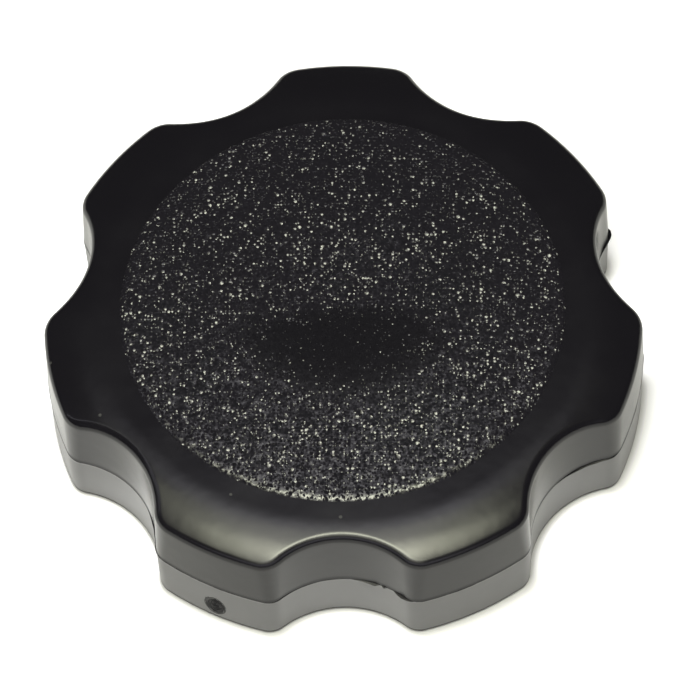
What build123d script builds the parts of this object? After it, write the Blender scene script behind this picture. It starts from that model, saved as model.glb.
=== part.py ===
"""Lobed clamping knob, moulded round a threaded brass bush.

Millimetres, +Z up. The origin is on the thread's axis, in the plane that the skirt and the hub stand on.
One scallop faces -Y. The moulding is widest at its parting plane and drafts both ways from there: two
mould halves form its outside, and a plug that pulls down forms its cored, ribbed underside.
"""

import os
from math import asin, cos, degrees, radians, sin, sqrt, tan

from build123d import *

# Lobed outline, measured in the parting plane
lobe_count = 7
lobe_radius = 25.0
scallop_depth = 3.05
scallop_radius = 8.0
corner_radius = 2.4  # where a lobe turns into a scallop
outside_draft = 1.0  # degrees, both ways from the parting plane
parting_height = 5.4
first_scallop = -90.0

# Top: a smooth ring that rolls over towards the lobes, round a raised and crowned disc
ring_height = 12.1
ring_flat = 1.5  # width of the ring's level part
shoulder_width = 5.0  # from where the ring begins to roll over to the tips of the lobes
shoulder_radius = 11.1
shoulder_overrun = 1.0  # how far the turned shape goes on past the lobes
top_edge_radius = 0.8
disc_rise = 0.4  # above the ring
disc_edge_radius = 0.2
disc_side_width = 0.3  # how far the disc's side spreads on its way down to the ring
crown_radius = 110.0
dimple_radius = 9.0  # shallow sink over the hub
dimple_depth = 0.5

# Cored underside
skirt_wall = 2.4
top_wall = 2.5
core_draft = 1.0
core_corner_radius = 1.2
hub_radius = 8.0
rib_thickness = 1.5
rib_setback = 1.0  # how far the ribs stop above the base

# Threaded bush, M8
thread_minor_radius = 3.32
bush_radius = 5.5
bush_length = 9.0
bush_collar = 1.4  # plain band at each end
bush_groove_depth = 0.6
bush_groove_width = 1.6
mouth_chamfer = 0.4
knurl_count = 18
knurl_depth = 0.4

# Scar that the tunnel gate leaves low on one lobe
gate_width = 1.6
gate_height = 2.4
gate_centre_height = 2.0
gate_depth = 0.25

scallop_centre_radius = lobe_radius - scallop_depth + scallop_radius
pitch = 360 / lobe_count
shoulder_start = lobe_radius - shoulder_width
shoulder_sweep = degrees(asin((shoulder_width + shoulder_overrun) / shoulder_radius))
disc_radius = shoulder_start - ring_flat - disc_side_width
disc_edge_height = ring_height + disc_rise
upwards = (Align.CENTER, Align.CENTER, Align.MIN)


def crown_height(radius):
    """Height of the crowned disc at a distance from the axis."""
    sphere_centre = disc_edge_height - sqrt(crown_radius**2 - disc_radius**2)
    return sphere_centre + sqrt(crown_radius**2 - radius**2)


def lobed_frustum(lobe, scallop, corner, height, draft):
    """A lobed block that stands on the XY plane and narrows upwards with the draft."""
    inset = height * tan(radians(draft))
    with BuildPart() as frustum:
        Cone(lobe, lobe - inset, height, align=upwards)
        with PolarLocations(scallop_centre_radius, lobe_count, start_angle=first_scallop):
            Cone(scallop, scallop + inset, height, align=upwards, mode=Mode.SUBTRACT)
        fillet(frustum.edges().filter_by(GeomType.CIRCLE, reverse=True), corner)
    return frustum.part


# The bush before it is bored: collars, two knurled bands, and a groove that locks it in the plastic
band_length = (bush_length - 2 * bush_collar - bush_groove_width) / 2
knurl_side = knurl_depth * sqrt(2)
with BuildPart() as bush_blank:
    Cylinder(bush_radius, bush_length, align=upwards)
    with BuildSketch(Plane.XZ):
        with Locations((bush_radius, bush_length / 2)):
            Rectangle(2 * bush_groove_depth, bush_groove_width)
    revolve(axis=Axis.Z, mode=Mode.SUBTRACT)
    for band_start in (bush_collar, bush_length - bush_collar - band_length):
        with BuildSketch(Plane.XY.offset(band_start)):
            with PolarLocations(bush_radius, knurl_count):
                Rectangle(knurl_side, knurl_side, rotation=45)
        extrude(amount=band_length, mode=Mode.SUBTRACT)

# The bore is modelled at the thread's minor diameter
with BuildPart() as threaded_bush:
    add(bush_blank.part)
    Hole(thread_minor_radius)
    chamfer(
        threaded_bush.edges()
        .filter_by(GeomType.CIRCLE)
        .filter_by(lambda edge: edge.radius < (thread_minor_radius + bush_radius) / 2),
        mouth_chamfer,
    )

# One rib, from inside the hub out past the skirt; the pull of the plug makes it thicker upwards
rib_top_thickness = rib_thickness + 2 * ring_height * tan(radians(core_draft))
with BuildPart() as rib:
    with BuildSketch(Plane.YZ.offset(hub_radius / 2)):
        with BuildLine():
            Polyline(
                (-rib_thickness / 2, rib_setback),
                (rib_thickness / 2, rib_setback),
                (rib_top_thickness / 2, rib_setback + ring_height),
                (-rib_top_thickness / 2, rib_setback + ring_height),
                close=True,
            )
        make_face()
    extrude(amount=lobe_radius)

# What the plug fills while the knob is moulded: the cavity under a domed ceiling, less hub and ribs
base_inset = parting_height * tan(radians(outside_draft))
cavity_radius = lobe_radius - base_inset - skirt_wall
cavity_scallop = scallop_radius + base_inset + skirt_wall
ceiling_middle = crown_height(0) - dimple_depth - top_wall
ceiling_edge = ring_height - top_wall
with BuildPart() as core:
    add(lobed_frustum(cavity_radius, cavity_scallop, core_corner_radius, ceiling_middle, core_draft))
    with BuildSketch(Plane.XZ):
        with BuildLine():
            dome = ThreePointArc(
                (-cavity_radius, ceiling_edge), (0, ceiling_middle), (cavity_radius, ceiling_edge)
            )
            Polyline(dome @ 1, (cavity_radius, 0), (-cavity_radius, 0), dome @ 0)
        make_face()
        split(bisect_by=Plane.YZ)
    revolve(axis=Axis.Z, mode=Mode.INTERSECT)
    hub_top_radius = hub_radius + ceiling_middle * tan(radians(core_draft))
    Cone(hub_radius, hub_top_radius, ceiling_middle, align=upwards, mode=Mode.SUBTRACT)
    with PolarLocations(0, lobe_count, start_angle=first_scallop):
        add(rib.part, mode=Mode.SUBTRACT)

grip_height = crown_height(0) - parting_height
grip = lobed_frustum(lobe_radius, scallop_radius, corner_radius, grip_height, outside_draft)
with BuildPart() as lobed_knob:
    # Both mould halves: the drafted grip above the parting plane and its mirror image below
    with Locations((0, 0, parting_height)):
        add(grip)
    mirror(about=Plane.XY.offset(parting_height))

    # Turned shape of the top; the straight line under it cuts the lower half off at the base
    with BuildSketch(Plane.XZ):
        with BuildLine():
            dimple_slope = -dimple_radius / sqrt(crown_radius**2 - dimple_radius**2)
            dimple = Spline(
                (0, crown_height(0) - dimple_depth),
                (dimple_radius, crown_height(dimple_radius)),
                tangents=((1, 0), (1, dimple_slope)),
            )
            disc = RadiusArc(dimple @ 1, (disc_radius, disc_edge_height), crown_radius)
            side = Line(disc @ 1, (disc_radius + disc_side_width, ring_height))
            ring = Line(side @ 1, (shoulder_start, ring_height))
            shoulder = JernArc(ring @ 1, (1, 0), shoulder_radius, -shoulder_sweep)
            Polyline(shoulder @ 1, ((shoulder @ 1).X, 0), (0, 0), dimple @ 0)
        make_face()
    revolve(axis=Axis.Z, mode=Mode.INTERSECT)
    shoulder_face = lobed_knob.faces().filter_by(GeomType.TORUS).sort_by(SortBy.AREA)[-1]
    fillet(shoulder_face.outer_wire().edges(), top_edge_radius)
    circles = lobed_knob.edges().filter_by(GeomType.CIRCLE)
    disc_rim = circles.sort_by(lambda edge: abs(edge.radius - disc_radius))[0]
    fillet(disc_rim, disc_edge_radius)

    add(core.part, mode=Mode.SUBTRACT)
    add(bush_blank.part, mode=Mode.SUBTRACT)

    # The gate scar, on the middle of the lobe before the first scallop
    gate_azimuth = radians(first_scallop - pitch / 2)
    outward = Vector(cos(gate_azimuth), sin(gate_azimuth), 0)
    below_parting = parting_height - gate_centre_height
    gate_floor = lobe_radius - below_parting * tan(radians(outside_draft)) - gate_depth
    gate_centre = outward * gate_floor + Vector(0, 0, gate_centre_height)
    with BuildSketch(Plane(gate_centre, x_dir=(0, 0, 1), z_dir=outward)):
        Ellipse(gate_height / 2, gate_width / 2)
    extrude(amount=lobe_radius - gate_floor, mode=Mode.SUBTRACT)

lobed_knob.part.label = "lobed_knob"
threaded_bush.part.label = "threaded_bush"
os.makedirs("parts", exist_ok=True)
export_step(lobed_knob.part, "parts/lobed_knob.step")
export_step(threaded_bush.part, "parts/threaded_bush.step")
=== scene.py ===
"""Looks of a lobed clamping knob: a black moulding with a sparkling grained disc, round a brass bush.

Metres, +Z up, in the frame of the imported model. The file is laid out as an add-on and run as a script.
"""

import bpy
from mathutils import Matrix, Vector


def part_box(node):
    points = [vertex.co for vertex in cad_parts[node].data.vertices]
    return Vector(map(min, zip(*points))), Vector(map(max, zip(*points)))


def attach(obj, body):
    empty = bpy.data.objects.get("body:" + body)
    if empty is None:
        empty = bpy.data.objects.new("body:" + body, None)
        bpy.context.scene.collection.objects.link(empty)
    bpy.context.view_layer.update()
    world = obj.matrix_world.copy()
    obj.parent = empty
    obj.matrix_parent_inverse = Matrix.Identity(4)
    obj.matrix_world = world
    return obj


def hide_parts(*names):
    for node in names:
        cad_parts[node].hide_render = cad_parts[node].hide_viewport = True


bl_info = {
    "name": "Lobed clamping knob",
    "version": (1, 0, 0),
    "blender": (4, 5, 0),
    "location": "View3D > Sidebar > Knob",
    "description": "Dresses a seven-lobed clamping knob and sets it on a studio stage",
    "category": "Add Mesh",
}

from math import acos, asin, atan2, cos, pi, radians, sin, tan

import bpy
import numpy as np
from bpy.props import FloatProperty, FloatVectorProperty, IntProperty, PointerProperty
from bpy.types import Operator, Panel, PropertyGroup
from mathutils import Matrix, Vector
from mathutils.geometry import delaunay_2d_cdt

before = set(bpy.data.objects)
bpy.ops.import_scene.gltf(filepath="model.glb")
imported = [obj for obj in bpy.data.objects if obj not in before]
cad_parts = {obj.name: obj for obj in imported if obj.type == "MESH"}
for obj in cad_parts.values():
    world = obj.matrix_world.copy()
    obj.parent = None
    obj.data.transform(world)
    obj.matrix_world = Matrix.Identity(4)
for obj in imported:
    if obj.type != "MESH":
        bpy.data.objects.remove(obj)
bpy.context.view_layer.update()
BUSH_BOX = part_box("threaded_bush")

MM = 0.001

# Fins of flash, by bearing round the knob: where each one starts, stands out most and ends, in degrees, and how far,
# in millimetres
FINS = (
    (-88.5, -83.2, -82.3, 0.20),
    (-82.0, -81.5, -80.9, 0.17),
    (-79.9, -78.3, -76.3, 0.26),
    (-37.5, -29.0, -23.5, 0.19),
    (21.4, 27.0, 27.9, 0.23),
    (-138.4, -131.0, -126.4, 0.12),
    (112.0, 121.0, 124.0, 0.12),
)

# Share of the line of flash left after trimming: bearing in degrees, share
LINE_LEFT = ((-180, 0.6), (-146, 0.5), (-128, 1.2), (-98, 1.2), (-88, 0.6), (-66, 0.8), (-54, 0.2), (-44, 0.0),
             (-36, 0.6), (10, 0.6), (60, 1.0), (180, 0.6))

# Layers of spots in the disc's grain: spacing as a share of the grain size, largest radius as a share of that
# spacing, tilt as a share of the grain's, share of the spots that are there, and a shift, in spacings
GRAIN_LAYERS = (
    (1.05, 0.47, 1.0, 0.50, (0.0, 0.0, 0.0)),
    (0.78, 0.50, 1.0, 0.85, (3.7, 1.3, 0.0)),
    (0.50, 0.60, 0.9, 0.60, (7.1, 5.9, 0.0)),
)

# Unevenness of the ground between the spots: width of its waves in millimetres, and their slope
GROUND_WAVES = ((0.25, 0.14), (0.6, 0.12))

# Lamps overhead: place of the middle, then width and depth, all as shares of the lamp's height; brightness as a
# share of the lamp strength; and whether the light is warm
LAMPS = (
    ("middle_lamp", (-0.01, -0.26), (0.32, 0.28), 0.96, True),
    ("wide_lamp", (0.0, -0.10), (0.70, 0.20), 0.51, True),
    ("deep_lamp", (-0.05, -0.20), (0.40, 1.00), 0.14, False),
    ("broad_lamp", (-0.10, -0.39), (0.70, 1.175), 0.17, True),
    ("left_strip", (-1.90, 0.13), (2.80, 0.10), 0.13, False),
    ("back_glow", (-0.10, 0.33), (0.80, 0.20), 0.04, False),
    ("low_glow", (0.0, -2.2), (3.0, 2.0), 0.07, False),
)
COOL_LIGHT = (0.985, 0.975, 1.06)
WHITE = (1.0, 1.0, 1.0)


def length(name, description, default):
    """A property that holds a length in metres."""
    return FloatProperty(name=name, description=description, default=default, min=0.0, precision=6,
                         unit="LENGTH", subtype="DISTANCE")


def angle(name, description, default):
    """A property that holds an angle."""
    return FloatProperty(name=name, description=description, default=default, unit="ROTATION", subtype="ANGLE")


def share(name, description, default):
    """A property that holds a plain number from 0 up."""
    return FloatProperty(name=name, description=description, default=default, min=0.0, precision=4)


def colour(name, description, default):
    """A property that holds a linear colour."""
    return FloatVectorProperty(name=name, description=description, default=default, size=3, min=0.0, max=1.0,
                               subtype="COLOR")


class KnobOutlineSettings(PropertyGroup):
    """The lobed outline, measured in the parting plane."""

    lobes: IntProperty(name="Lobes", description="How many lobes and scallops", default=7, min=3)
    lobe_radius: length("Lobe radius", "From the axis to the tip of a lobe", 25.0 * MM)
    scallop_depth: length("Scallop depth", "How far a scallop cuts in from the lobes' circle", 3.05 * MM)
    scallop_radius: length("Scallop radius", "Radius of a scallop's arc", 8.0 * MM)
    corner_radius: length("Corner radius", "Where a lobe turns into a scallop, at the top", 2.4 * MM)
    lower_corner: length("Lower corner radius", "The same from the parting plane down", 1.7 * MM)
    draft: angle("Draft", "Slope of the outside, both ways from the parting plane", radians(1.0))
    parting_height: length("Parting height", "Height of the parting plane above the base", 5.4 * MM)


class KnobTopSettings(PropertyGroup):
    """The ring that rolls over towards the lobes, and the crowned disc."""

    ring_height: length("Ring height", "Height where the ring turns into its shoulder", 12.1 * MM)
    ring_flat: length("Ring flat", "Width of the ring's straight part", 1.5 * MM)
    ring_slope: angle("Ring slope", "How far the ring leans outwards", radians(2.5))
    shoulder_width: length("Shoulder width", "From where the ring rolls over to the lobes' tips", 5.0 * MM)
    shoulder_radius: length("Shoulder radius", "Radius of the roll", 13.35 * MM)
    edge_radius: length("Edge radius", "Between the shoulder and the grip's side", 0.8 * MM)
    disc_rise: length("Disc rise", "Height of the disc's edge above the ring", 0.4 * MM)
    disc_side: length("Disc side", "How far the disc's side spreads on its way down", 0.3 * MM)
    disc_edge: length("Disc edge", "Width of the disc's rolled edge", 0.62 * MM)
    crown_radius: length("Crown radius", "Radius of the disc's crown", 110.0 * MM)
    dimple_radius: length("Dimple radius", "Radius of the shallow sink in the middle", 9.0 * MM)
    dimple_depth: length("Dimple depth", "Depth of the sink", 0.5 * MM)


class KnobUndersideSettings(PropertyGroup):
    """The cored underside."""

    skirt_wall: length("Skirt wall", "Thickness of the skirt at the base", 2.4 * MM)
    top_wall: length("Top wall", "Thickness of the top", 2.5 * MM)
    core_corner: length("Core corner", "Corner radius of the core", 1.2 * MM)
    hub_radius: length("Hub radius", "Outer radius of the hub at its mouth", 8.0 * MM)
    rib_thickness: length("Rib thickness", "At the lower edge", 1.5 * MM)
    rib_setback: length("Rib setback", "How far the ribs stop above the base", 1.0 * MM)


class KnobBushSettings(PropertyGroup):
    """The threaded bush."""

    bush_radius: length("Bush radius", "Outer radius", (BUSH_BOX[1][0] - BUSH_BOX[0][0]) / 2)
    bush_length: length("Bush length", "From the mouth to the far end", BUSH_BOX[1][2] - BUSH_BOX[0][2])
    thread_radius: length("Thread radius", "Radius of the thread's crests in the bore", 3.32 * MM)
    thread_depth: length("Thread depth", "From crest to root", 0.66 * MM)
    thread_pitch: length("Thread pitch", "From one turn to the next", 1.25 * MM)
    mouth_chamfer: length("Mouth chamfer", "Chamfer at both ends of the bore", 0.4 * MM)


class KnobMarkSettings(PropertyGroup):
    """Marks that moulding left: the torn gate and the flash on the parting line."""

    gate_bearing: angle("Gate bearing", "Where the gate scar sits round the knob", radians(-115.3))
    gate_height: length("Gate height", "Middle of the gate scar above the base", 2.1 * MM)
    gate_width: length("Gate width", "Width of the gate scar", 1.9 * MM)
    gate_tall: length("Gate tall", "Height of the gate scar itself", 2.7 * MM)
    gate_depth: length("Gate depth", "Depth of the gate scar", 0.28 * MM)
    flash_line: length("Flash line", "How far the flash stands out along the whole line", 0.035 * MM)


class KnobFinishSettings(PropertyGroup):
    """Colours and gloss."""

    plastic: colour("Plastic", "Black plastic", (0.0081, 0.0073, 0.0104))
    grip_grey: colour("Lower grip", "Greyer plastic below the parting plane", (0.171, 0.169, 0.177))
    brass: colour("Brass", "Turned brass", (0.72, 0.53, 0.26))
    dust: colour("Dust", "Specks of dust on the smooth plastic", (0.06, 0.06, 0.06))
    dust_spacing: length("Dust spacing", "Size of the cells that may hold one speck of dust each", 2.2 * MM)
    gloss: share("Roughness", "Roughness of the smooth plastic", 0.2)
    grip_gloss: share("Lower grip roughness", "Roughness of the plastic below the parting plane", 0.32)
    # Painted light: how much the lower grip's colour is lightened in the scallops
    scallop_painted_light: share("Scallop lift", "How much lighter the lower grip is in the scallops", 0.45)
    grain_size: length("Grain size", "Spacing of the largest spots on the disc", 0.36 * MM)
    grain_height: length("Grain height", "Height of the tallest bumps under the spots", 0.008 * MM)
    grain_mesh: length("Grain mesh", "Spacing of the points that carry the grain", 0.125 * MM)
    grain_tilt: share("Grain tilt", "Slope of the most tilted spots of the grain", 0.48)
    grain_dome: share("Grain dome", "Slope that a spot's dome adds at its edge", 0.20)
    grain_gloss: share("Grain roughness", "Roughness of the grain's spots", 0.17)
    ground_gloss: share("Ground roughness", "Roughness of the ground between the spots", 0.2)
    ground_lean: share("Ground lean", "How much of the crown's slope the ground between the spots keeps", 0.45)
    grain_index: share("Grain index", "Refractive index of the grain", 1.6)
    worn_place: FloatVectorProperty(name="Worn place", description="Middle of the patch with shallower grain",
                                    default=(0.2 * MM, -5.3 * MM, 0.0), subtype="TRANSLATION", unit="LENGTH")
    worn_size: FloatVectorProperty(name="Worn size", description="Half width and half depth of that patch",
                                   default=(8.8 * MM, 4.4 * MM), size=2, min=0.0, unit="LENGTH")
    worn_bow: share("Worn bow", "How far the patch's ends bend back, as a share of its width across", 0.33)
    worn_left: share("Worn left", "Share of the ground's slope left in that patch", 0.26)
    worn_shrink: share("Worn shrink", "How much smaller the spots are in that patch, as a share of the largest", 0.66)


class KnobStageSettings(PropertyGroup):
    """Camera, floor and lamps."""

    azimuth: angle("Azimuth", "Camera's bearing round the knob", radians(3.093))
    elevation: angle("Elevation", "Camera's height above the horizon", radians(59.216))
    roll: angle("Roll", "Camera's turn about its own axis", radians(3.148))
    aim_height: length("Aim height", "Height of the point on the axis that the camera's aim starts from", 10.19 * MM)
    aim_right: length("Aim right", "How far the aim moves from there to the picture's right", 0.4123 * MM)
    aim_down: length("Aim down", "How far it moves down the picture", 2.593 * MM)
    distance: length("Distance", "From the camera to the point it aims at", 502.4 * MM)
    lens: share("Lens", "Focal length in millimetres", 310.85)
    lamp_strength: share("Lamp strength", "Radiance of the middle lamp", 11.0)
    lamp_height: length("Lamp height", "Height of the lamps above the floor", 0.6)
    room_level: share("Room level", "Brightness of the dim room round the lamps", 0.04)
    floor_lift: share("Floor lift", "Brightness added to the floor where it is seen", 0.5)
    floor_mirror: share("Floor mirror", "Share of that brightness that reflections get", 0.32)
    # Painted light on the floor, for brighter reflections in the knob's sides
    notch_painted_light: share("Notch lift", "How much brighter the floor is between the lobes", 2.5)
    side_painted_light: share("Side lift", "How much brighter the floor is on the left", 2.0)
    # Painted shadow on the floor: where the floor's lift fades out near the knob's foot
    painted_shade_width: length("Shade width", "How near the knob the floor's shade reaches", 0.95 * MM)
    painted_shade_bearing: angle("Shade bearing", "Towards which side the shade is widest", radians(-5))
    floor_colour: colour("Floor colour", "Colour of the floor's paper", (0.80, 0.79, 0.83))
    lamp_colour: colour("Lamp colour", "Colour of the warm lamps", (0.985, 1.0, 0.77))


# ---------------------------------------------------------------- shared shapes


def lobed_outline(inset, corner, samples=(14, 12, 20)):
    """Points and outward normals, both (n, 2), of the lobed outline moved inwards.

    It runs anticlockwise from the middle of one lobe, with the same order of samples at every inset.
    """
    shape = bpy.context.scene.knob_outline
    lobe = shape.lobe_radius - inset
    scallop = shape.scallop_radius + inset
    scallop_centre = shape.lobe_radius - shape.scallop_depth + shape.scallop_radius
    reach = lobe - corner
    bearing = acos((reach**2 + scallop_centre**2 - (scallop + corner) ** 2) / (2 * reach * scallop_centre))
    corner_centre = np.array([reach * cos(bearing), reach * sin(bearing)])
    meeting = atan2(corner_centre[1], corner_centre[0] - scallop_centre)
    in_scallop, in_corner, in_lobe = samples

    def arc(centre, radius, start, end, count, side):
        turn = start + (end - start) * np.arange(count) / count
        unit = np.stack([np.cos(turn), np.sin(turn)], axis=1)
        return centre + radius * unit, side * unit

    half = [
        arc(np.array([scallop_centre, 0.0]), scallop, pi, meeting, in_scallop, -1),
        arc(corner_centre, corner, meeting - pi, bearing, in_corner, 1),
        arc(np.zeros(2), lobe, bearing, pi / shape.lobes, in_lobe, 1),
    ]
    tip = np.array([[cos(pi / shape.lobes), sin(pi / shape.lobes)]])
    points = np.concatenate([part[0] for part in half] + [lobe * tip])
    normals = np.concatenate([part[1] for part in half] + [tip])
    flip = np.array([1.0, -1.0])
    points = np.concatenate([points[:0:-1] * flip, points[:-1]])
    normals = np.concatenate([normals[:0:-1] * flip, normals[:-1]])
    turned_points, turned_normals = [], []
    for lobe_number in range(shape.lobes):
        turn = -pi / 2 + 2 * pi * lobe_number / shape.lobes
        spin = np.array([[cos(turn), sin(turn)], [-sin(turn), cos(turn)]])
        turned_points.append(points @ spin)
        turned_normals.append(normals @ spin)
    return np.concatenate(turned_points), np.concatenate(turned_normals)


def on_height(points, height):
    """(n, 3) points from (n, 2) points and a height."""
    return np.column_stack([points, np.broadcast_to(height, len(points))])


def top_profile(radius):
    """Height of the ring and its shoulder, and their surface's lean outwards, at distances from the axis."""
    shape, top = bpy.context.scene.knob_outline, bpy.context.scene.knob_top
    start = shape.lobe_radius - top.shoulder_width
    out = np.maximum(np.asarray(radius) - start, 0.0)
    root = np.sqrt(top.shoulder_radius**2 - out**2)
    fall = tan(top.ring_slope)
    height = top.ring_height - fall * (np.asarray(radius) - start) - (top.shoulder_radius - root)
    return height, np.arctan(fall + out / root)


def disc_radius():
    """Radius of the disc at its upper edge."""
    shape, top = bpy.context.scene.knob_outline, bpy.context.scene.knob_top
    return shape.lobe_radius - top.shoulder_width - top.ring_flat - top.disc_side


def disc_height(radius):
    """Height of the crowned disc with its dimple, at distances from the axis."""
    top = bpy.context.scene.knob_top
    edge = top.ring_height + top.disc_rise
    sphere = edge - np.sqrt(top.crown_radius**2 - disc_radius() ** 2)
    inside = np.clip(np.asarray(radius) / top.dimple_radius, 0.0, 1.0)
    dimple = (1 - inside**2) ** 2 * top.dimple_depth
    return sphere + np.sqrt(top.crown_radius**2 - np.asarray(radius) ** 2) - dimple


def skin(name, rings, finishes, finish_of_band, closed=True):
    """A smooth mesh object whose neighbouring rings, (n, 3) arrays of points, are joined by quads.

    finish_of_band says which of the finishes each band between two rings takes.
    """
    count = len(rings[0])
    points = np.concatenate(rings)
    here = np.arange(count if closed else count - 1)
    after = (here + 1) % count
    faces, material = [], []
    for band, finish in enumerate(finish_of_band):
        low, high = band * count, (band + 1) * count
        faces.append(np.stack([low + here, high + here, high + after, low + after], axis=1))
        material.append(np.full(len(here), finish))
    return mesh_object(name, points, np.concatenate(faces).tolist(), finishes, np.concatenate(material))


def mesh_object(name, points, faces, finishes, material=0):
    """A smooth mesh object from an array of points, a list of faces and material numbers."""
    mesh = bpy.data.meshes.new(name)
    mesh.from_pydata(points.tolist(), [], faces)
    for finish in finishes:
        mesh.materials.append(finish)
    mesh.polygons.foreach_set("material_index", np.broadcast_to(material, len(mesh.polygons)).astype(np.int32))
    mesh.polygons.foreach_set("use_smooth", np.ones(len(mesh.polygons), dtype=bool))
    mesh.validate()
    mesh.update()
    piece = bpy.data.objects.new(name, mesh)
    bpy.context.scene.collection.objects.link(piece)
    return piece


def slope_between(start, end, part):
    """Unit vectors that turn by a part of the way from start to end, both (n, 3)."""
    between = np.arccos(np.clip((start * end).sum(axis=1), -1, 1))[:, None]
    return (np.sin((1 - part) * between) * start + np.sin(part * between) * end) / np.sin(between)


# ---------------------------------------------------------------- finishes


def new_material(name, kind="ShaderNodeBsdfPrincipled"):
    """A material whose node tree holds its output and one main shader."""
    material = bpy.data.materials.new(name)
    material.use_nodes = True
    tree = material.node_tree
    tree.nodes.clear()
    output = tree.nodes.new("ShaderNodeOutputMaterial")
    shader = tree.nodes.new(kind)
    tree.links.new(shader.outputs[0], output.inputs["Surface"])
    return material, tree, shader


def put(tree, socket, value):
    """Links a node's output to an input socket, or sets the socket's own value."""
    if isinstance(value, bpy.types.NodeSocket):
        tree.links.new(value, socket)
    else:
        socket.default_value = value


def add_node(tree, kind, settings=None, **sockets):
    """A node with its own settings, and with values or links on its input sockets."""
    node = tree.nodes.new(kind)
    for key, value in (settings or {}).items():
        setattr(node, key, value)
    for key, value in sockets.items():
        put(tree, node.inputs[key.replace("_", " ")], value)
    return node


def maths(tree, operation, *values):
    """The result of an operation on numbers, each a plain value or another node's output."""
    node = add_node(tree, "ShaderNodeMath", {"operation": operation})
    for socket, value in zip(node.inputs, values):
        put(tree, socket, value)
    return node.outputs[0]


def vector_maths(tree, operation, *values):
    """The same on vectors."""
    node = add_node(tree, "ShaderNodeVectorMath", {"operation": operation})
    for socket, value in zip(node.inputs, values):
        put(tree, socket, value)
    return node.outputs["Value" if operation == "LENGTH" else "Vector"]


def scaled(tree, vector, amount):
    """A vector times a number."""
    node = add_node(tree, "ShaderNodeVectorMath", {"operation": "SCALE"}, Scale=amount)
    tree.links.new(vector, node.inputs[0])
    return node.outputs[0]


def blended(tree, factor, start, end):
    """A colour that goes from start to end while the factor goes from 0 to 1."""
    node = add_node(tree, "ShaderNodeMix", {"data_type": "RGBA"}, Factor=factor, A=(*start, 1.0), B=(*end, 1.0))
    return node.outputs["Result"]


def shades(colour_between, dark, light):
    """Two shades of a colour: it times dark, and it times light."""
    return [dark * part for part in colour_between], [light * part for part in colour_between]


def bumped(tree, texture, strength, distance, base=None):
    """A normal with the relief of a texture, on top of a base normal where one is given."""
    node = add_node(tree, "ShaderNodeBump", None, Strength=strength, Distance=distance, Height=texture.outputs["Fac"])
    if base is not None:
        tree.links.new(base, node.inputs["Normal"])
    return node.outputs["Normal"]


def ramp(tree, factor, low, high, start, end):
    """A number that goes from low to high while the factor goes from start to end."""
    node = add_node(tree, "ShaderNodeMapRange", {"interpolation_type": "SMOOTHSTEP"})
    tree.links.new(factor, node.inputs["Value"])
    for key, value in (("From Min", start), ("From Max", end), ("To Min", low), ("To Max", high)):
        node.inputs[key].default_value = value
    return node.outputs["Result"]


def object_coordinates(tree):
    """Object coordinates, which are metres from the knob's origin."""
    return tree.nodes.new("ShaderNodeTexCoord").outputs["Object"]


def noise(tree, size, detail=2.0, roughness=0.5):
    """A noise texture whose features are about as wide as the size."""
    return add_node(tree, "ShaderNodeTexNoise", {"noise_dimensions": "3D"}, Vector=object_coordinates(tree),
                    Scale=1.0 / size, Detail=detail, Roughness=roughness)


def smooth_plastic():
    """Satin black plastic of the ring, the shoulder and the upper half of the grip, with specks of dust."""
    finish = bpy.context.scene.knob_finish
    material, tree, shader = new_material("smooth_plastic")
    cells = add_node(tree, "ShaderNodeTexVoronoi", {"voronoi_dimensions": "3D", "feature": "F1"},
                     Vector=object_coordinates(tree), Scale=1 / finish.dust_spacing, Randomness=1.0)
    draw = add_node(tree, "ShaderNodeSeparateColor", None, Color=cells.outputs["Color"])
    speck = ramp(tree, draw.outputs[0], 0.0, 0.07, 0.70, 1.0)
    dusty = maths(tree, "LESS_THAN", cells.outputs["Distance"], speck)
    tree.links.new(blended(tree, dusty, finish.plastic, finish.dust), shader.inputs["Base Color"])
    patches = noise(tree, 6 * MM, 3.0).outputs["Fac"]
    gloss = ramp(tree, patches, finish.gloss * 0.85, finish.gloss * 1.2, 0.3, 0.7)
    tree.links.new(gloss, shader.inputs["Roughness"])
    waves = bumped(tree, noise(tree, 2.4 * MM), 1.0, 0.02 * MM)
    tree.links.new(bumped(tree, noise(tree, 0.35 * MM), 0.3, 0.002 * MM, waves), shader.inputs["Normal"])
    return material


def matt_plastic():
    """Greyer, duller plastic of the lower half of the grip, with painted light in the scallops, where its colour is
    made lighter.
    """
    finish, shape = bpy.context.scene.knob_finish, bpy.context.scene.knob_outline
    material, tree, shader = new_material("matt_plastic")
    level = vector_maths(tree, "MULTIPLY", object_coordinates(tree), (1.0, 1.0, 0.0))
    lobes_end = shape.lobe_radius - 0.35 * MM
    # Painted light: the base colour is lighter in the scallops, standing in for the brighter reflections there
    in_scallop = ramp(tree, vector_maths(tree, "LENGTH", level), finish.scallop_painted_light, 0.0,
                      lobes_end - 0.7 * MM, lobes_end)
    clouds = noise(tree, 3 * MM, 4.0, 0.6).outputs["Fac"]
    lighter = maths(tree, "MULTIPLY_ADD", clouds, 0.55, in_scallop)
    tree.links.new(blended(tree, lighter, *shades(finish.grip_grey, 0.86, 1.24)), shader.inputs["Base Color"])
    shader.inputs["Roughness"].default_value = finish.grip_gloss
    tree.links.new(bumped(tree, noise(tree, 0.2 * MM), 0.3, 0.004 * MM), shader.inputs["Normal"])
    return material


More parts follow.
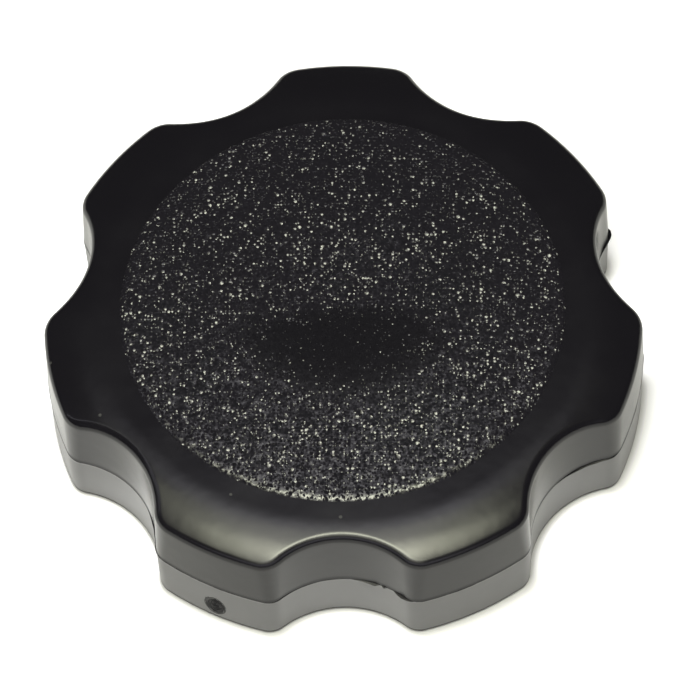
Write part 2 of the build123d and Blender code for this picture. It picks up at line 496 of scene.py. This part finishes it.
def grained_plastic():
    """The disc's spark-eroded grain: small tilted spots of three sizes on uneven ground, fewer where it is worn."""
    finish = bpy.context.scene.knob_finish
    material, tree, shader = new_material("grained_plastic")
    shader.inputs["IOR"].default_value = finish.grain_index
    wear = worn_reach(tree, finish)
    # The base colour is darker inside the bowed patch and lighter outside it; the ground's slope is also smaller
    # inside it
    outside_patch = ramp(tree, wear, finish.worn_left, 1.0, 1.10, 1.5)
    tree.links.new(blended(tree, outside_patch, *shades(finish.plastic, 0.7, 1.5)), shader.inputs["Base Color"])

    # Each layer of spots takes the ground that the layers before it leave free
    normal = tree.nodes.new("ShaderNodeNewGeometry").outputs["Normal"]
    surface = vector_maths(tree, "MULTIPLY", normal, (finish.ground_lean, finish.ground_lean, 1.0))
    shrink = ramp(tree, wear, 0.9, 0.0, 0.75, 1.7)
    free = ramp(tree, wear, 0.65, 1.0, 1.0, 1.5)
    for spacing, largest, tilt, present, shift in GRAIN_LAYERS:
        lean, inside = grains(tree, spacing * finish.grain_size, largest, tilt * finish.grain_tilt, present, shift,
                              shrink)
        surface = leaning(tree, surface, lean, free)
        free = maths(tree, "MULTIPLY", maths(tree, "SUBTRACT", 1.0, inside), free)
    for width, slope in GROUND_WAVES:
        waves = noise(tree, width * MM, 1.0).outputs["Color"]
        uneven = vector_maths(tree, "MULTIPLY_ADD", waves, (2 * slope, 2 * slope, 0.0), (-slope, -slope, 0.0))
        surface = leaning(tree, surface, uneven, outside_patch)
    tree.links.new(vector_maths(tree, "NORMALIZE", surface), shader.inputs["Normal"])
    tree.links.new(ramp(tree, free, finish.grain_gloss, finish.ground_gloss, 0.0, 1.0), shader.inputs["Roughness"])
    return material


def worn_reach(tree, finish):
    """How far a point lies from the middle of the bowed worn patch, about 1.2 along its wandering edge."""
    place = add_node(tree, "ShaderNodeMapping", {"vector_type": "TEXTURE"}, Vector=object_coordinates(tree),
                     Location=finish.worn_place, Rotation=(0.0, 0.0, radians(2.0)), Scale=(*finish.worn_size, 1.0))
    across = add_node(tree, "ShaderNodeSeparateXYZ", None, Vector=place.outputs[0])
    squared = maths(tree, "MULTIPLY", across.outputs[0], across.outputs[0])
    bowed = maths(tree, "MULTIPLY_ADD", squared, -finish.worn_bow, across.outputs[1])
    flat = add_node(tree, "ShaderNodeCombineXYZ", None, X=across.outputs[0], Y=bowed)
    wander = noise(tree, 1.6 * MM, 3.0).outputs["Fac"]
    return maths(tree, "MULTIPLY_ADD", wander, 0.7, vector_maths(tree, "LENGTH", flat.outputs[0]))


def leaning(tree, surface, lean, part):
    """The surface's normal, not yet unit length, leaning over by a part of the lean."""
    return vector_maths(tree, "ADD", surface, scaled(tree, lean, part))


def grains(tree, spacing, largest, tilt, present, shift, shrink):
    """Raised spots, each tilted its own way and slightly domed: their lean, and a number that is 1 on them.

    Where shrink is near 1, only the largest are left.
    """
    finish = bpy.context.scene.knob_finish
    moved = add_node(tree, "ShaderNodeMapping", None, Vector=object_coordinates(tree), Location=shift,
                     Scale=(1.0 / spacing, 1.0 / spacing, 0.0)).outputs[0]
    cells = add_node(tree, "ShaderNodeTexVoronoi", {"voronoi_dimensions": "2D", "feature": "F1"},
                     Vector=moved, Scale=1.0, Randomness=1.0)
    draw = add_node(tree, "ShaderNodeSeparateColor", None, Color=cells.outputs["Color"])
    size = ramp(tree, draw.outputs[2], 0.0, largest, 1.0 - present, 1.0)
    left = maths(tree, "MULTIPLY_ADD", shrink, -finish.worn_shrink * largest, size)
    inside = maths(tree, "LESS_THAN", cells.outputs["Distance"], left)
    tilted = vector_maths(tree, "MULTIPLY_ADD", cells.outputs["Color"],
                          (2.0 * tilt, 2.0 * tilt, 0.0), (-tilt, -tilt, 0.0))
    away = vector_maths(tree, "SUBTRACT", moved, cells.outputs["Position"])
    dome = finish.grain_dome / largest
    domed = vector_maths(tree, "MULTIPLY_ADD", away, (dome, dome, 0.0), tilted)
    return scaled(tree, domed, inside), inside


def torn_plastic():
    """Dull, rough plastic where the gate was torn off."""
    material, tree, shader = new_material("torn_plastic")
    shader.inputs["Base Color"].default_value = (*bpy.context.scene.knob_finish.plastic, 1.0)
    shader.inputs["Roughness"].default_value = 0.5
    tree.links.new(bumped(tree, noise(tree, 0.15 * MM, 3.0), 0.8, 0.03 * MM), shader.inputs["Normal"])
    return material


def cored_plastic():
    """Plastic of the underside, as fine and uneven as the core left it."""
    material, tree, shader = new_material("cored_plastic")
    shader.inputs["Base Color"].default_value = (*bpy.context.scene.knob_finish.plastic, 1.0)
    patches = noise(tree, 4 * MM, 3.0).outputs["Fac"]
    tree.links.new(ramp(tree, patches, 0.3, 0.45, 0.3, 0.7), shader.inputs["Roughness"])
    tree.links.new(bumped(tree, noise(tree, 0.3 * MM), 0.4, 0.006 * MM), shader.inputs["Normal"])
    return material


def turned_brass():
    """Turned brass with faint concentric tool marks."""
    material, tree, shader = new_material("turned_brass")
    shader.inputs["Base Color"].default_value = (*bpy.context.scene.knob_finish.brass, 1.0)
    shader.inputs["Metallic"].default_value = 1.0
    shader.inputs["Roughness"].default_value = 0.28
    marks = add_node(tree, "ShaderNodeTexWave", {"wave_type": "RINGS", "rings_direction": "Z"},
                     Vector=object_coordinates(tree), Scale=1.0 / (1.2 * MM), Distortion=0.6, Detail=2.0)
    tree.links.new(bumped(tree, marks, 0.35, 0.01 * MM), shader.inputs["Normal"])
    return material


# ---------------------------------------------------------------- pieces


class KNOB_OT_body(Operator):
    """Make the moulding: ring, shoulder, grip with its parting line, base and the core's walls"""

    bl_idname = "knob.body"
    bl_label = "Knob body"

    def execute(self, context):
        shape, top = context.scene.knob_outline, context.scene.knob_top
        under = context.scene.knob_underside
        smooth, matt, cored = 0, 1, 2
        rings, bands = [], []

        def add(ring, finish):
            rings.append(ring)
            bands.append(finish)

        # The ring starts a little under the disc, and rolls over from circles to the lobed outline
        upper_inset = (top.ring_height - shape.parting_height) * tan(shape.draft)
        edge = top.edge_radius
        centres, wall_normals = lobed_outline(upper_inset + edge, shape.corner_radius - edge)
        centre_radius = np.hypot(*centres.T)
        axis_side = centres / centre_radius[:, None]
        contact_radius = centre_radius.copy()
        for _ in range(12):
            contact_radius = centre_radius + edge * np.sin(top_profile(contact_radius)[1])
        contact_height, lean = top_profile(contact_radius)
        top_normal = on_height(axis_side * np.sin(lean)[:, None], np.cos(lean))
        side_normal = on_height(wall_normals * cos(shape.draft), sin(shape.draft))
        edge_centres = on_height(axis_side * contact_radius[:, None], contact_height) - edge * top_normal
        foot = disc_radius() + top.disc_side
        start = shape.lobe_radius - top.shoulder_width
        for radius in np.linspace(foot - 0.6 * MM, start, 8):
            add(on_height(axis_side * radius, top_profile(radius)[0]), smooth)
        for step in np.linspace(0, 1, 22)[1:-1]:
            radius = start + (contact_radius - start) * step
            add(on_height(axis_side * radius[:, None], top_profile(radius)[0]), smooth)

        # The edge is a rolling ball between the shoulder and the drafted side
        for step in np.linspace(0, 1, 15):
            add(edge_centres + edge * slope_between(top_normal, side_normal, step), smooth)

        # Upper half of the side, the ridge that the parting plane left, and the lower half, whose foot is painted
        # shade: black smooth plastic in place of the grey grip
        line_reach, line_swell = 0.05 * MM, 0.02 * MM
        base_edge, painted_shade_foot = 0.3 * MM, 0.45 * MM
        side_top = edge_centres + edge * side_normal

        def side(height, swell=0.0):
            inset = abs(height - shape.parting_height) * tan(shape.draft)
            points, normals = lobed_outline(inset, shape.lower_corner)
            return on_height(points + normals * swell, height)

        line_top = side(shape.parting_height + line_reach)
        for step in np.linspace(0, 1, 13)[1:]:
            add(side_top + (line_top - side_top) * step, smooth)
        add(side(shape.parting_height + line_reach * 0.3, line_swell), smooth)
        add(side(shape.parting_height - line_reach * 0.3, line_swell), matt)
        for height in np.linspace(shape.parting_height - line_reach, painted_shade_foot, 24):
            add(side(height), matt)
        # Painted shade: from the foot band down round the base edge the side takes the black smooth plastic, standing
        # in for the contact shadow
        add(side(base_edge), smooth)
        for step in np.linspace(0, 1, 5)[1:]:
            turn = step * pi / 2
            add(side(base_edge * (1 - sin(turn)), -base_edge * (1 - cos(turn))), smooth)

        # Base, core wall and domed ceiling
        base_inset = shape.parting_height * tan(shape.draft)
        inner = base_inset + under.skirt_wall
        ceiling_edge = top.ring_height - under.top_wall
        ceiling_middle = float(disc_height(0.0)) - under.top_wall
        for step in np.linspace(0, 1, 4)[1:]:
            outer = base_inset + base_edge
            points, _ = lobed_outline(outer + (inner - outer) * step,
                                      shape.lower_corner + (under.core_corner - shape.lower_corner) * step)
            add(on_height(points, 0.0), cored)
        for height in np.linspace(0, ceiling_edge, 8)[1:]:
            points, _ = lobed_outline(inner + height * tan(shape.draft), under.core_corner)
            add(on_height(points, height), cored)
        last = np.hypot(*points.T)
        for step in np.linspace(1, 0.02, 14)[1:]:
            radius = last * step
            height = ceiling_middle - (ceiling_middle - ceiling_edge) * (radius / last.max()) ** 2
            add(on_height(points * step, height), cored)

        body = skin("knob_body", rings, [smooth_plastic(), matt_plastic(), cored_plastic()], bands[1:])
        sink_behind_scar(body)
        body.data.set_sharp_from_angle(angle=radians(55))
        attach(body, "root")
        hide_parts("lobed_knob")
        return {"FINISHED"}


def scar_coordinates(points):
    """How far (n, 3) points are along and up from the middle of the gate scar, as shares of its half sizes."""
    gate, shape = bpy.context.scene.knob_marks, bpy.context.scene.knob_outline
    along = (np.arctan2(points[:, 1], points[:, 0]) - gate.gate_bearing + pi) % (2 * pi) - pi
    return (along * shape.lobe_radius / (gate.gate_width / 2),
            (points[:, 2] - gate.gate_height) / (gate.gate_tall / 2))


def sink_behind_scar(body):
    """Moves the body's side inwards behind the gate scar, which is a piece of its own."""
    shape = bpy.context.scene.knob_outline
    points = np.empty(len(body.data.vertices) * 3)
    body.data.vertices.foreach_get("co", points)
    points = points.reshape(-1, 3)
    along, up = scar_coordinates(points)
    outside = np.hypot(points[:, 0], points[:, 1]) > shape.lobe_radius - 1.0 * MM
    hidden = outside & (np.hypot(along, up) < 0.85) & (points[:, 2] > 0.3 * MM)
    sunk = 0.6 * MM
    points[hidden, :2] *= 1 - sunk / shape.lobe_radius
    body.data.vertices.foreach_set("co", points.ravel())


class KNOB_OT_gate_scar(Operator):
    """Make the scar where the moulding was torn off its gate"""

    bl_idname = "knob.gate_scar"
    bl_label = "Gate scar"

    def execute(self, context):
        gate, shape = context.scene.knob_marks, context.scene.knob_outline
        around, steps = 72, 26
        turn = 2 * pi * np.arange(around) / around
        chance = np.random.default_rng(11)
        ragged = smooth_noise(chance, around, 5)
        rings = []

        # From just outside the scar to its middle: a raised lip, a steep wall and a torn floor deeper on one side
        for step in range(steps):
            outward = 1.12 * (1 - step / (steps - 1)) + 0.01
            lip = np.exp(-(((outward - 0.97) / 0.07) ** 2)) * 0.03 * MM
            wall = 1 / (1 + np.exp((outward - 0.80 - 0.06 * ragged) / 0.035))
            torn = 0.55 + 0.45 * np.cos(turn - 0.8) * outward + 0.25 * smooth_noise(chance, around, 4)
            sink = -gate.gate_depth * wall * np.clip(torn, 0.1, 1.2) + lip - 0.012 * MM
            along = outward * np.cos(turn) * gate.gate_width / 2 * (1 + 0.04 * ragged)
            up = gate.gate_height + outward * np.sin(turn) * gate.gate_tall / 2 * (1 + 0.04 * ragged)
            radius = shape.lobe_radius - np.abs(up - shape.parting_height) * tan(shape.draft) + sink
            bearing = gate.gate_bearing + along / shape.lobe_radius
            rings.append(np.column_stack([radius * np.cos(bearing), radius * np.sin(bearing), up]))
        scar = skin("gate_scar", rings, [torn_plastic()], [0] * (steps - 1))
        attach(scar, "root")
        return {"FINISHED"}


def smooth_noise(chance, count, reach):
    """Random numbers round a closed line, smoothed over the reach, about -1 to 1."""
    values = chance.standard_normal(count)
    weights = np.exp(-0.5 * (np.arange(-3 * reach, 3 * reach + 1) / reach) ** 2)
    weights /= np.sqrt((weights**2).sum())
    return np.convolve(np.concatenate([values] * 3), weights, mode="same")[count : 2 * count]


class KNOB_OT_flash(Operator):
    """Make the thin ragged fins of flash along the parting line"""

    bl_idname = "knob.flash"
    bl_label = "Parting flash"

    def execute(self, context):
        shape, marks = context.scene.knob_outline, context.scene.knob_marks
        points, normals = lobed_outline(0.0, shape.lower_corner, (44, 24, 44))
        count = len(points)
        bearing = np.degrees(np.arctan2(points[:, 1], points[:, 0]))
        chance = np.random.default_rng(5)
        ragged = smooth_noise(chance, count, 3)
        along, left = zip(*LINE_LEFT)
        reach = marks.flash_line * np.interp(bearing, along, left)
        reach = reach * (1 + 0.35 * smooth_noise(chance, count, 12) + 0.25 * ragged) - 0.01 * MM
        for start, most, end, tall in FINS:
            fin = np.interp(bearing, (start, 0.6 * most + 0.4 * start, most, end), (0.0, 0.8, 1.0, 0.0))
            reach = np.maximum(reach, tall * MM * fin * (1 + 0.12 * ragged))

        # Its root lies inside the grip, and its thinner tip droops a little
        root = points - 0.1 * MM * normals
        tip = points + np.maximum(reach, -0.05 * MM)[:, None] * normals
        half = 0.035 * MM
        tip_height = shape.parting_height - 0.08 * np.maximum(reach, 0)
        rings = [
            on_height(root, shape.parting_height + half),
            on_height(tip, tip_height + half * 0.7),
            on_height(tip, tip_height - half * 0.7),
            on_height(root, shape.parting_height - half),
        ]
        flash = skin("parting_flash", rings, [smooth_plastic()], [0, 0, 0])
        flash.data.set_sharp_from_angle(angle=radians(30))
        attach(flash, "root")
        return {"FINISHED"}


class KNOB_OT_disc(Operator):
    """Make the raised, crowned disc with its grain"""

    bl_idname = "knob.disc"
    bl_label = "Grained disc"

    def execute(self, context):
        top, finish = context.scene.knob_top, context.scene.knob_finish
        foot = disc_radius() + top.disc_side
        inner = foot - top.disc_edge

        # Inside the edge the points lie as a sunflower's seeds do, so that no rows show in the grain
        count = int(round((inner / finish.grain_mesh) ** 2 * pi))
        seed = np.arange(count) + 0.5
        golden = pi * (3 - 5**0.5)
        spread = (inner - 0.4 * finish.grain_mesh) * np.sqrt(seed / count)
        seeds = np.column_stack([spread * np.cos(seed * golden), spread * np.sin(seed * golden)])
        around = int(2 * pi * inner / finish.grain_mesh)
        turn = 2 * pi * np.arange(around) / around
        unit = np.stack([np.cos(turn), np.sin(turn)], axis=1)
        flat = np.concatenate([unit * inner, seeds])
        faces = list(delaunay_2d_cdt([Vector(point) for point in (flat / MM).tolist()], [], [], 0, 1e-9)[2])

        # The edge is one roll from the crown down to its foot on the ring, and dips just under it
        crown_height, foot_height = float(disc_height(inner)), float(top_profile(foot)[0])
        crown_lean = asin(inner / top.crown_radius)
        foot_lean = 2 * atan2(crown_height - foot_height, top.disc_edge) - crown_lean
        roll = top.disc_edge / (sin(foot_lean) - sin(crown_lean))
        profile = [(inner + roll * (sin(lean) - sin(crown_lean)), crown_height - roll * (cos(crown_lean) - cos(lean)))
                   for lean in np.linspace(crown_lean, foot_lean, 9)[1:]]
        profile.append((foot + 0.03 * MM, foot_height - 0.05 * MM))
        points = [on_height(flat, disc_height(np.hypot(*flat.T)))]
        upper = np.arange(around)
        for number, (radius, height) in enumerate(profile):
            lower = len(flat) + number * around + np.arange(around)
            points.append(on_height(unit * radius, height))
            faces += np.stack([upper, lower, np.roll(lower, -1), np.roll(upper, -1)], axis=1).tolist()
            upper = lower
        points = np.concatenate(points)
        points[:, 2] += finish.grain_height * bumps(points[:, :2], finish.grain_size)
        disc = mesh_object("grained_disc", points, faces, [grained_plastic()])
        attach(disc, "root")
        return {"FINISHED"}


def bumps(points, spacing):
    """Height, 0 to 1, of randomly placed round bumps of many sizes at (n, 2) points."""
    chance = np.random.default_rng(3)
    cells = 256
    shift = chance.uniform(0.0, 1.0, (cells, cells, 2))
    tall = chance.uniform(0.0, 1.0, (cells, cells)) ** 2.0
    wide = chance.uniform(0.45, 0.75, (cells, cells))
    place = points / spacing + cells / 2
    home = np.floor(place).astype(int)
    height = np.zeros(len(points))
    for across in (-1, 0, 1):
        for along in (-1, 0, 1):
            i, j = home[:, 0] + across, home[:, 1] + along
            centre = np.stack([i, j], axis=1) + shift[i, j]
            distance = np.hypot(*(place - centre).T) / wide[i, j]
            height = np.maximum(height, tall[i, j] * np.clip(1 - distance**2, 0.0, 1.0))
    return height


def rounded_edge(outer, low, radius):
    """Points, distance and height, of a quarter round at the foot of an upright side."""
    return [(outer - radius * (1 - cos(turn)), low + radius * (1 - sin(turn)))
            for turn in np.linspace(0, pi / 2, 5)[1:]]


class KNOB_OT_underside(Operator):
    """Make the hub and the ribs that stand in the core"""

    bl_idname = "knob.underside"
    bl_label = "Hub and ribs"

    def execute(self, context):
        ceiling = float(disc_height(0.0)) - context.scene.knob_underside.top_wall
        finish = cored_plastic()
        self.hub(context.scene, ceiling, finish)
        self.ribs(context.scene, ceiling, finish)
        return {"FINISHED"}

    def hub(self, scene, ceiling, finish):
        """The hub, from the ceiling down, round its mouth and in behind the bush."""
        under, bush = scene.knob_underside, scene.knob_bush
        around, lip, spread = 160, 0.2 * MM, tan(scene.knob_outline.draft)
        turn = 2 * pi * np.arange(around) / around
        unit = np.stack([np.cos(turn), np.sin(turn)], axis=1)
        profile = [
            (under.hub_radius + ceiling * spread, ceiling),
            (under.hub_radius + lip * spread, lip),
            *rounded_edge(under.hub_radius, 0.0, lip),
            (bush.bush_radius, 0.0),
            (bush.bush_radius, bush.bush_length),
            (0.01 * MM, bush.bush_length),
        ]
        rings = [on_height(unit * radius, height) for radius, height in profile]
        hub = skin("hub", rings, [finish], [0] * (len(rings) - 1))
        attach(hub, "root")

    def ribs(self, scene, ceiling, finish):
        """Drafted bars with rounded lower edges, from inside the hub to inside the skirt."""
        shape, under = scene.knob_outline, scene.knob_underside
        inner = under.hub_radius - 0.5 * MM
        skirt = shape.lobe_radius - shape.scallop_depth - under.skirt_wall + 0.5 * MM
        low, round_edge = under.rib_setback, 0.25 * MM
        half_low = under.rib_thickness / 2
        half_high = half_low + (ceiling - low) * tan(shape.draft)
        section = [(half_high, ceiling), (half_low, low + round_edge), *rounded_edge(half_low, low, round_edge)]
        section += [(-across, up) for across, up in section[::-1]]
        for number in range(shape.lobes):
            turn = -pi / 2 + 2 * pi * number / shape.lobes
            outward = np.array([cos(turn), sin(turn)])
            sideways = np.array([-outward[1], outward[0]])
            rings = [np.array([[*(outward * reach + sideways * across), up] for across, up in section])
                     for reach in np.linspace(inner, skirt, 6)]
            rib = skin(f"rib_{number + 1}", rings, [finish], [0] * (len(rings) - 1))
            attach(rib, "root")


class KNOB_OT_bush(Operator):
    """Make the brass bush with its thread"""

    bl_idname = "knob.bush"
    bl_label = "Threaded bush"

    def execute(self, context):
        bush = context.scene.knob_bush
        around, steps_a_turn, rim = 96, 16, 0.1 * MM
        turn = 2 * pi * np.arange(around + 1) / around
        unit = np.stack([np.cos(turn), np.sin(turn)], axis=1)
        rings = [
            on_height(unit * bush.bush_radius, bush.bush_length),
            on_height(unit * bush.bush_radius, rim),
            on_height(unit * (bush.bush_radius - rim), 0.0),
        ]

        # The thread's flanks lie between its flat crests and roots, and both mouths are chamfered past its roots
        root = bush.thread_radius + bush.thread_depth
        for height in np.arange(0.0, bush.bush_length + 1e-9, bush.thread_pitch / steps_a_turn):
            phase = (height / bush.thread_pitch + turn / (2 * pi)) % 1.0
            crest = np.clip((np.abs(phase - 0.5) * 2 - 0.15) / 0.65, 0.0, 1.0)
            chamfer = root + bush.mouth_chamfer - rim - min(height, bush.bush_length - height)
            rings.append(on_height(unit * np.maximum(root - bush.thread_depth * crest, chamfer)[:, None], height))
        brass = skin("brass_bush", rings, [turned_brass()], [0] * (len(rings) - 1), closed=False)
        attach(brass, "root")
        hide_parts("threaded_bush")
        return {"FINISHED"}


class KNOB_OT_stage(Operator):
    """Set up the floor, the lamps, the background and the camera"""

    bl_idname = "knob.stage"
    bl_label = "Stage"

    def execute(self, context):
        scene = context.scene
        stage = scene.knob_stage
        scene.view_settings.view_transform = "Standard"
        self.floor(scene)
        self.world(scene)
        self.lamps(scene, stage)
        self.camera(scene, stage)
        return {"FINISHED"}

    def floor(self, scene):
        """A pale floor, seen only from above, with an opening under the knob for the views from below; its lift holds
        painted shadow near the knob and painted light between the lobes and on the left.
        """
        shape, under, stage = scene.knob_outline, scene.knob_underside, scene.knob_stage
        base_inset = shape.parting_height * tan(shape.draft)
        inner, _ = lobed_outline(base_inset + under.skirt_wall / 2, shape.lower_corner)
        foot, outward = lobed_outline(base_inset, shape.lower_corner)
        rings, lifts = [on_height(inner, 0.0)], [np.zeros(len(inner))]

        # Painted light: the floor's lift is raised between the lobes and on the left, so that the knob's sides
        # reflect it brighter
        def painted_light_between_lobes(points):
            inside = (shape.lobe_radius + 1.0 * MM - np.hypot(*points.T)) / (3 * MM)
            return 1 + stage.notch_painted_light * np.clip(inside, 0, 1)

        def painted_light_on_left(points):
            leftward = (-points[:, 0] / np.hypot(*points.T) - 0.75) / 0.2
            return 1 + stage.side_painted_light * np.clip(leftward, 0, 1)

        # Painted shadow: the lift fades out towards the knob's foot, over a wider band on one side
        away = np.array([cos(stage.painted_shade_bearing), sin(stage.painted_shade_bearing)])
        width = stage.painted_shade_width * (1 + 0.65 * outward @ away)
        for reach in (0.0, 0.1, 0.2, 0.3, 0.45, 0.6, 0.8, 1.0, 1.3, 1.7, 2.2):
            ring = foot + reach * MM * outward
            rings.append(on_height(ring, 0.0))
            step = np.clip(reach * MM / width, 0, 1)
            painted_shade_fade = step * step * (3 - 2 * step)
            lifts.append(stage.floor_lift * painted_shade_fade * painted_light_between_lobes(ring) * painted_light_on_left(ring))
        for radius in (0.04, 0.1, 0.5, 3.0):
            rings.append(on_height(ring / np.hypot(*ring.T)[:, None] * radius, 0.0))
            lifts.append(stage.floor_lift * painted_light_on_left(ring))
        floor = skin("floor", rings, [self.floor_paper(stage)], [0] * (len(rings) - 1))
        lift_values = floor.data.attributes.new("lift", "FLOAT", "POINT")
        lift_values.data.foreach_set("value", np.concatenate(lifts))
        if floor.data.polygons[0].normal.z < 0:
            floor.data.flip_normals()

    def floor_paper(self, stage):
        """Pale paper, lifted to white where it is seen, also in gloss and through glass, and clear from below."""
        material, tree, mix = new_material("floor_paper", "ShaderNodeMixShader")
        seen = tree.nodes.new("ShaderNodeLightPath").outputs
        part = maths(tree, "MULTIPLY_ADD", seen["Is Glossy Ray"], stage.floor_mirror, seen["Is Camera Ray"])
        part = maths(tree, "ADD", seen["Is Transmission Ray"], part)
        # The lift attribute carries the painted shadow near the foot and the painted light between the lobes and on
        # the left
        level = add_node(tree, "ShaderNodeAttribute", {"attribute_type": "GEOMETRY", "attribute_name": "lift"})
        lift = maths(tree, "MINIMUM", maths(tree, "MULTIPLY", part, level.outputs["Fac"]), 1.0)
        both = tree.nodes.new("ShaderNodeAddShader")
        diffuse = add_node(tree, "ShaderNodeBsdfDiffuse", None, Color=(*stage.floor_colour, 1.0))
        glow = add_node(tree, "ShaderNodeEmission", None, Color=(*WHITE, 1.0), Strength=lift)
        tree.links.new(diffuse.outputs[0], both.inputs[0])
        tree.links.new(glow.outputs[0], both.inputs[1])
        clear = tree.nodes.new("ShaderNodeBsdfTransparent")
        below = tree.nodes.new("ShaderNodeNewGeometry").outputs["Backfacing"]
        for socket, source in zip(mix.inputs, (below, both.outputs[0], clear.outputs[0])):
            tree.links.new(source, socket)
        return material

    def world(self, scene):
        """White background; a dim room for everything else."""
        world = bpy.data.worlds.new("studio")
        world.use_nodes = True
        scene.world = world
        tree = world.node_tree
        tree.nodes.clear()
        output = tree.nodes.new("ShaderNodeOutputWorld")
        mix = tree.nodes.new("ShaderNodeMixShader")
        tree.links.new(tree.nodes.new("ShaderNodeLightPath").outputs["Is Camera Ray"], mix.inputs[0])
        for socket, strength in ((mix.inputs[1], scene.knob_stage.room_level), (mix.inputs[2], 1.0)):
            background = add_node(tree, "ShaderNodeBackground", None, Color=(*WHITE, 1.0), Strength=strength)
            tree.links.new(background.outputs[0], socket)
        tree.links.new(mix.outputs[0], output.inputs["Surface"])

    def lamps(self, scene, stage):
        """Soft lamps overhead, each a little above the one before it, and one lamp underneath."""
        height = stage.lamp_height
        for name, place, size, level, warm in LAMPS:
            tint = stage.lamp_colour if warm else COOL_LIGHT
            self.area(scene, name, place, height, size, level * stage.lamp_strength, tint)
            height *= 1.01
        self.area(scene, "under_lamp", (0.3, -0.4), -stage.lamp_height, (0.8, 0.8), 0.3 * stage.lamp_strength, WHITE)

    def area(self, scene, name, place, height, size, radiance, tint):
        """A level area lamp that isn't seen itself; its place and size are shares of its height."""
        reach = abs(height)
        lamp = bpy.data.lights.new(name, "AREA")
        lamp.shape = "RECTANGLE"
        lamp.size, lamp.size_y = reach * size[0], reach * size[1]
        lamp.energy = radiance * pi * lamp.size * lamp.size_y
        lamp.color = tint
        holder = bpy.data.objects.new(name, lamp)
        holder.location = (reach * place[0], reach * place[1], height)
        holder.rotation_euler = (0.0 if height > 0 else pi, 0.0, 0.0)
        holder.visible_camera = False
        scene.collection.objects.link(holder)

    def camera(self, scene, stage):
        """The camera looks down on the knob, with a small roll."""
        bearing, rise = stage.azimuth, stage.elevation
        back = Vector((sin(bearing) * cos(rise), -cos(bearing) * cos(rise), sin(rise)))
        right = Vector((cos(bearing), sin(bearing), 0.0))
        up = back.cross(right)
        aim = Vector((0.0, 0.0, stage.aim_height)) + stage.aim_right * right - stage.aim_down * up
        rolled_right = cos(stage.roll) * right - sin(stage.roll) * up
        rolled_up = sin(stage.roll) * right + cos(stage.roll) * up
        lens = bpy.data.cameras.new("camera")
        lens.sensor_width = 36.0
        lens.lens = stage.lens
        lens.clip_start, lens.clip_end = 0.01, 10.0
        holder = bpy.data.objects.new("camera", lens)
        turn = Matrix((rolled_right, rolled_up, back)).transposed().to_4x4()
        holder.matrix_world = Matrix.Translation(aim + stage.distance * back) @ turn
        scene.collection.objects.link(holder)
        scene.camera = holder


class KNOB_PT_panel(Panel):
    """Lists the knob's settings and its pieces"""

    bl_idname = "KNOB_PT_panel"
    bl_label = "Lobed knob"
    bl_space_type = "VIEW_3D"
    bl_region_type = "UI"
    bl_category = "Knob"

    def draw(self, context):
        for holder, operators in PANEL_ROWS:
            box = self.layout.box()
            settings = getattr(context.scene, holder)
            for key in settings.bl_rna.properties.keys():
                if key not in ("rna_type", "name"):
                    box.prop(settings, key)
            for operator in operators:
                box.operator(operator)


SETTINGS = {
    "knob_outline": KnobOutlineSettings,
    "knob_top": KnobTopSettings,
    "knob_underside": KnobUndersideSettings,
    "knob_bush": KnobBushSettings,
    "knob_marks": KnobMarkSettings,
    "knob_finish": KnobFinishSettings,
    "knob_stage": KnobStageSettings,
}
PANEL_ROWS = (
    ("knob_outline", ("knob.body",)),
    ("knob_top", ("knob.disc",)),
    ("knob_underside", ("knob.underside",)),
    ("knob_bush", ("knob.bush",)),
    ("knob_marks", ("knob.gate_scar", "knob.flash")),
    ("knob_finish", ()),
    ("knob_stage", ("knob.stage",)),
)
OPERATORS = (KNOB_OT_stage, KNOB_OT_body, KNOB_OT_disc, KNOB_OT_gate_scar, KNOB_OT_flash, KNOB_OT_underside,
             KNOB_OT_bush)


def register():
    for holder, settings in SETTINGS.items():
        bpy.utils.register_class(settings)
        setattr(bpy.types.Scene, holder, PointerProperty(type=settings))
    for operator in OPERATORS:
        bpy.utils.register_class(operator)
    bpy.utils.register_class(KNOB_PT_panel)


def unregister():
    bpy.utils.unregister_class(KNOB_PT_panel)
    for operator in reversed(OPERATORS):
        bpy.utils.unregister_class(operator)
    for holder, settings in reversed(SETTINGS.items()):
        delattr(bpy.types.Scene, holder)
        bpy.utils.unregister_class(settings)


def main():
    """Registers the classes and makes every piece."""
    register()
    bpy.ops.knob.stage()
    bpy.ops.knob.body()
    bpy.ops.knob.disc()
    bpy.ops.knob.gate_scar()
    bpy.ops.knob.flash()
    bpy.ops.knob.underside()
    bpy.ops.knob.bush()


if __name__ == "__main__":
    main()
